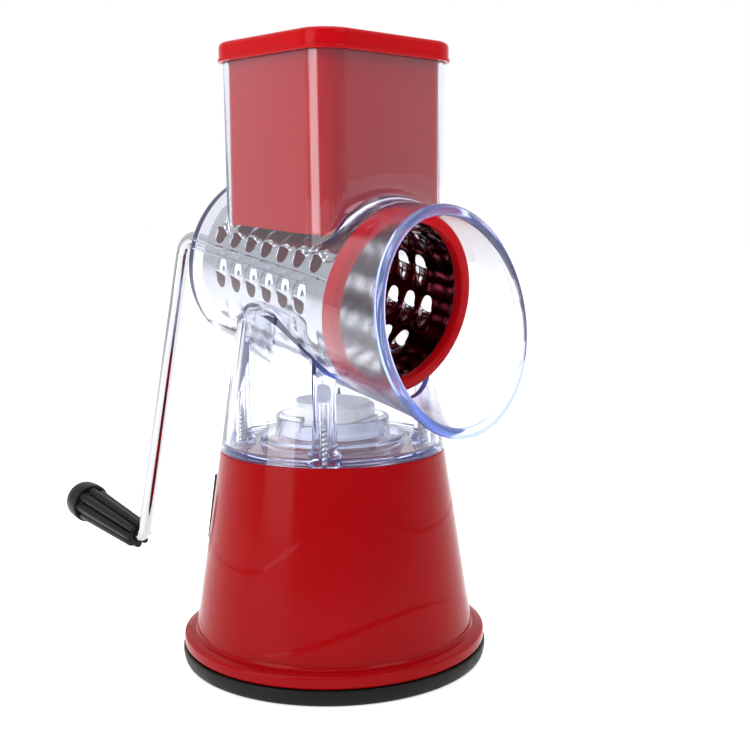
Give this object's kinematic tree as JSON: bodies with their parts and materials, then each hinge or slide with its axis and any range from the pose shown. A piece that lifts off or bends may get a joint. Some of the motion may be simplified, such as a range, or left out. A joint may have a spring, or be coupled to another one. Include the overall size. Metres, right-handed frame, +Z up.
{
  "type": "rotary cheese grater",
  "caption": "Hand-cranked drum grater with a clear barrel and chute, a square pusher, a punched steel drum, a turning grip and a conical suction base.",
  "frame": {"origin": "centre of the base on the table", "axes": "+Z up; the mouth faces -Y and the crank is on the +Y side; +X is to the right seen from the mouth"},
  "size_m": [0.1418, 0.2961, 0.2743],
  "materials": {
    "red_plastic": "moulded ABS, high gloss",
    "clear_plastic": "clear styrene plastic with a faint blue tint in its edges",
    "black_rubber": "smooth moulded rubber",
    "black_plastic": "satin moulded plastic",
    "white_plastic": "satin moulded plastic",
    "polished_steel": "polished stainless sheet",
    "chrome": "bright plating",
    "screw_steel": "zinc-plated steel"
  },
  "bodies": {
    "base": {"foot_ring": "black_rubber", "base_cone": "red_plastic", "clear_housing": "clear_plastic", "housing_screw_1": "screw_steel", "housing_screw_2": "screw_steel", "housing_screw_3": "screw_steel", "housing_screw_4": "screw_steel"},
    "lever": {"cam_sleeve": "white_plastic", "suction_lever": "black_plastic"},
    "suction": {"suction_cup": "black_rubber", "suction_stem": "screw_steel", "cam_follower": "white_plastic"},
    "drum": {"drum_shell": "polished_steel", "drum_front_ring": "red_plastic", "drum_hub": "red_plastic", "crank_hub": "red_plastic", "crank_rod": "chrome"},
    "grip": {"handle_grip": "black_plastic", "handle_end_cap": "black_plastic"},
    "pusher": {"pusher_body": "red_plastic", "pusher_lid": "red_plastic"}
  },
  "joints": [
    {"name": "drum_spin", "type": "hinge", "parent": "base", "child": "drum", "pos_m": [0, 0, 0.1731], "axis": [0, -0.987, -0.1607], "continuous": true},
    {"name": "grip_spin", "type": "hinge", "parent": "drum", "child": "grip", "pos_m": [-0.0162, 0.14164, 0.02878], "axis": [0, -0.987, -0.1607], "continuous": true},
    {"name": "pusher_slide", "type": "slide", "parent": "base", "child": "pusher", "axis": [0, 0, 1], "range_m": [0, 0.075]},
    {"name": "lever_turn", "type": "hinge", "parent": "base", "child": "lever", "pos_m": [0, 0, 0.066], "axis": [0, 0, -1], "range_deg": [0, 70]},
    {"name": "suction_lift", "type": "slide", "parent": "base", "child": "suction", "axis": [0, 0, 1], "range_m": [0, 0.003]}
  ],
  "couplings": [
    {"joint": "suction_lift", "follows": "lever_turn", "m_per_rad": 0.002292}
  ]
}
